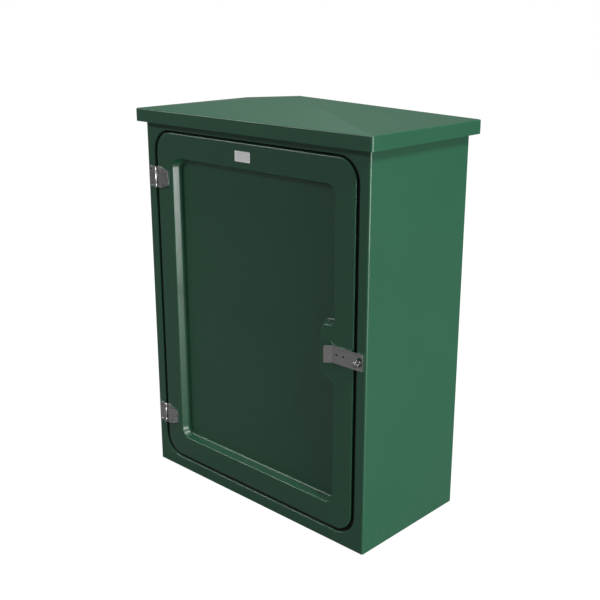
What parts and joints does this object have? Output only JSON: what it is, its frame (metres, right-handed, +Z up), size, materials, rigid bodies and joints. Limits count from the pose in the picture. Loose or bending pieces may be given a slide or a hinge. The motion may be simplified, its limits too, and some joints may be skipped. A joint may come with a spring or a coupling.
{
  "type": "roadside cabinet",
  "caption": "Free-standing moulded plastic equipment cabinet with a hipped roof canopy, a panelled side-hinged door and a padlockable hasp over a turning staple.",
  "frame": {"origin": "on the ground at the middle of the four anchor holes, which is the middle of the body's plan", "axes": "+Z up, +X to the right of someone facing the door, +Y from the door towards the back"},
  "size_m": [0.84, 0.43, 1.1],
  "materials": {
    "green_grp": "satin green gelcoat on glass-reinforced plastic",
    "black_rubber": "matt black rubber",
    "zinc_steel": "dull zinc-plated steel",
    "zinc_fastener": "bright zinc-plated steel",
    "label_metal": "plain white-silver plate",
    "plywood": "exterior plywood",
    "timber": "sawn softwood"
  },
  "bodies": {
    "cabinet": {"body_shell": "green_grp", "roof_canopy": "green_grp", "door_seal": "black_rubber", "lower_frame_leaf": "zinc_steel", "lower_hinge_pin": "zinc_fastener", "upper_frame_leaf": "zinc_steel", "upper_hinge_pin": "zinc_fastener", "hinge_frame_screws": "zinc_fastener", "hinge_frame_washers": "zinc_fastener", "hinge_frame_nuts": "zinc_fastener", "backboard": "plywood", "left_batten": "timber", "right_batten": "timber", "backboard_screws": "zinc_fastener"},
    "door": {"door": "green_grp", "upper_door_leaf": "zinc_steel", "lower_door_leaf": "zinc_steel", "hinge_door_screws": "zinc_fastener", "hinge_door_washers": "zinc_fastener", "hinge_door_nuts": "zinc_fastener", "hasp": "zinc_steel", "hasp_screws": "zinc_fastener", "hasp_washers": "zinc_fastener", "hasp_nuts": "zinc_fastener", "label_plate": "label_metal"},
    "staple": {"staple_eye": "zinc_fastener", "staple_washer": "zinc_fastener", "staple_nut": "zinc_fastener"}
  },
  "joints": [
    {"name": "door_swing", "type": "hinge", "parent": "cabinet", "child": "door", "pos_m": [-0.364, -0.1975, 0.515], "axis": [0, 0, -1], "range_deg": [0, 180]},
    {"name": "staple_turn", "type": "hinge", "parent": "cabinet", "child": "staple", "pos_m": [0.3815, -0.1925, 0.515], "axis": [0, -1, 0], "range_deg": [0, 90]}
  ]
}
